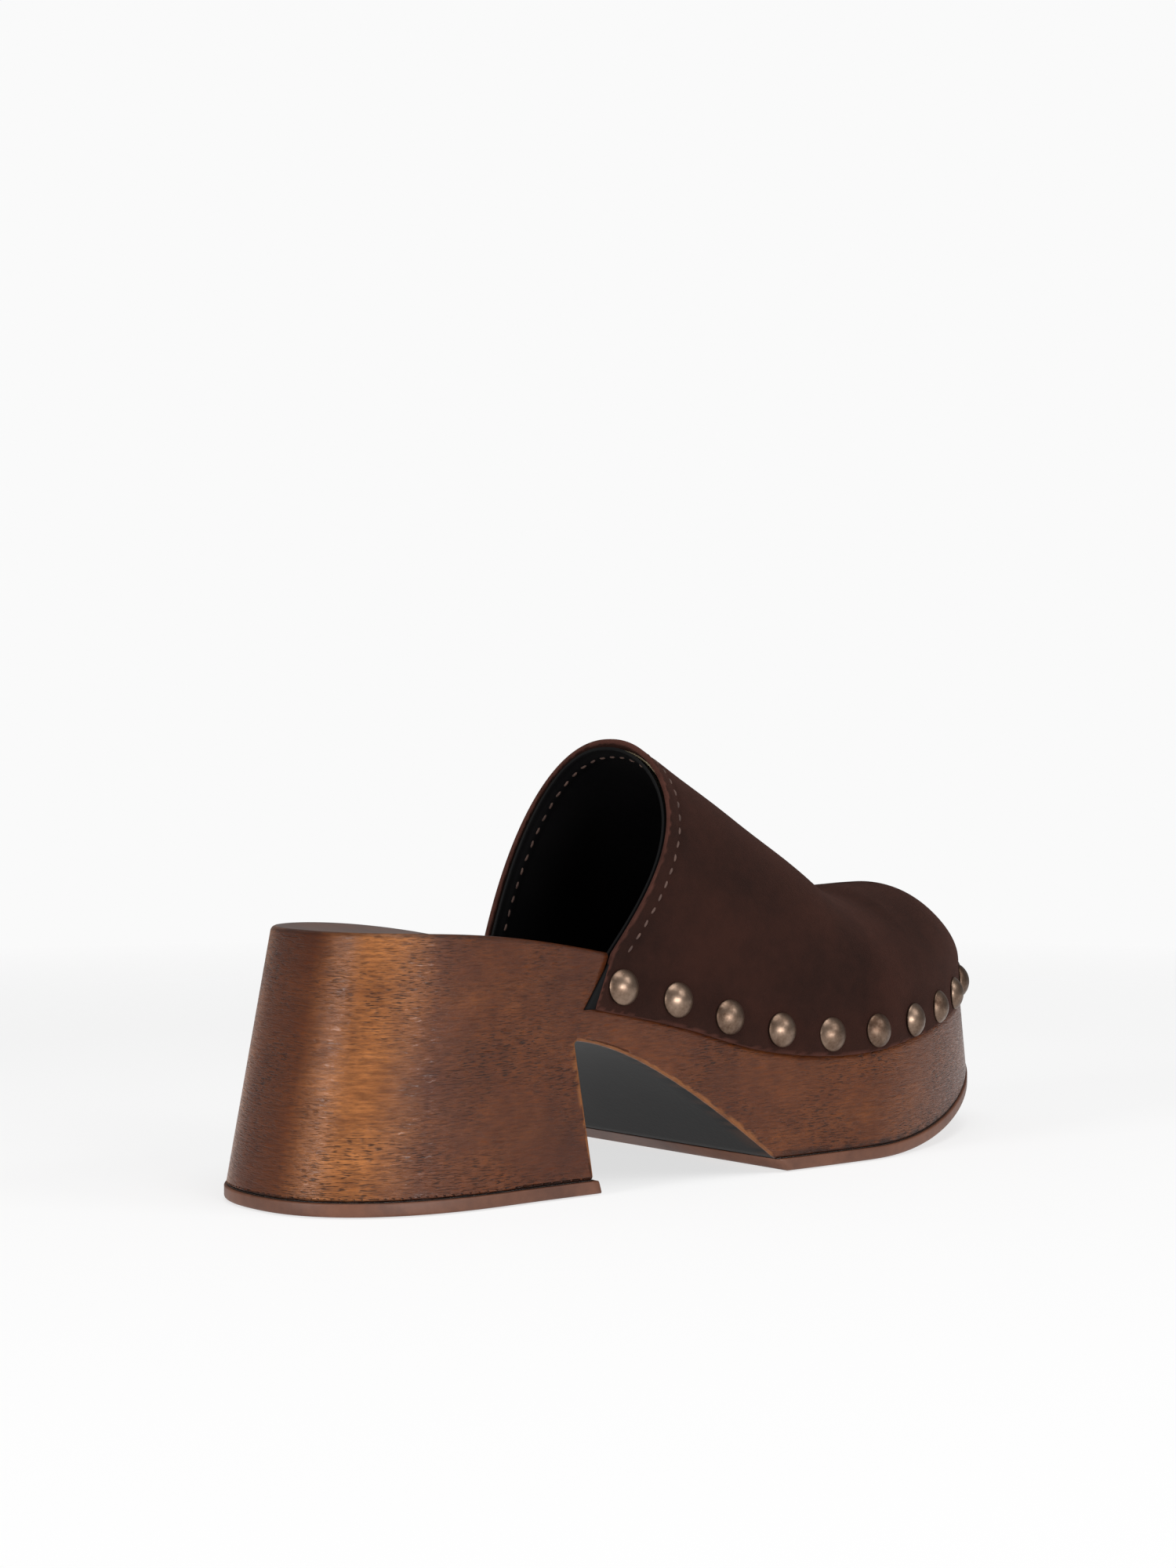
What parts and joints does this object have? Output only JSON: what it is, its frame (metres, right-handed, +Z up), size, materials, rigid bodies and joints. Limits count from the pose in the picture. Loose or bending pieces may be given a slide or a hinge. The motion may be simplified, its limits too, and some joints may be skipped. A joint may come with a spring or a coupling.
{
  "type": "clog",
  "caption": "Closed-toe mule clog for the right foot: suede upper nailed with domed studs round a carved wooden platform sole with a block heel and rubber treads.",
  "frame": {"origin": "centre of the overall box on the floor, under the soles of the heel and the forefoot", "axes": "+X from the heel to the toe, +Y towards the inner (medial) side of this right shoe, +Z up"},
  "size_m": [0.2496, 0.0864, 0.1102],
  "materials": {
    "wood": "brown stained and lacquered, satin gloss, with dark burnished edges",
    "rubber": "brown, matt",
    "suede": "dark brown suede with a fine nap",
    "lining": "smooth black leather, low sheen",
    "stiffener": "buff bonded fabric, hidden between the layers",
    "thread": "twisted polyester thread, grey brown",
    "stud_metal": "antique brass, dark and satin with worn bright tops"
  },
  "bodies": {
    "root": {"wooden_sole": "wood", "heel_top_piece": "rubber", "forefoot_outsole": "rubber", "suede_upper": "suede", "upper_lining": "lining", "toe_puff": "stiffener", "topline_tape": "stiffener", "needle_thread": "thread", "bobbin_thread": "thread", "stud_01": "stud_metal", "stud_02": "stud_metal", "stud_03": "stud_metal", "stud_04": "stud_metal", "stud_05": "stud_metal", "stud_06": "stud_metal", "stud_07": "stud_metal", "stud_08": "stud_metal", "stud_09": "stud_metal", "stud_10": "stud_metal", "stud_11": "stud_metal", "stud_12": "stud_metal", "stud_13": "stud_metal", "stud_14": "stud_metal", "stud_15": "stud_metal", "stud_16": "stud_metal", "stud_17": "stud_metal", "stud_18": "stud_metal", "stud_19": "stud_metal", "stud_20": "stud_metal", "stud_21": "stud_metal"}
  },
  "joints": []
}
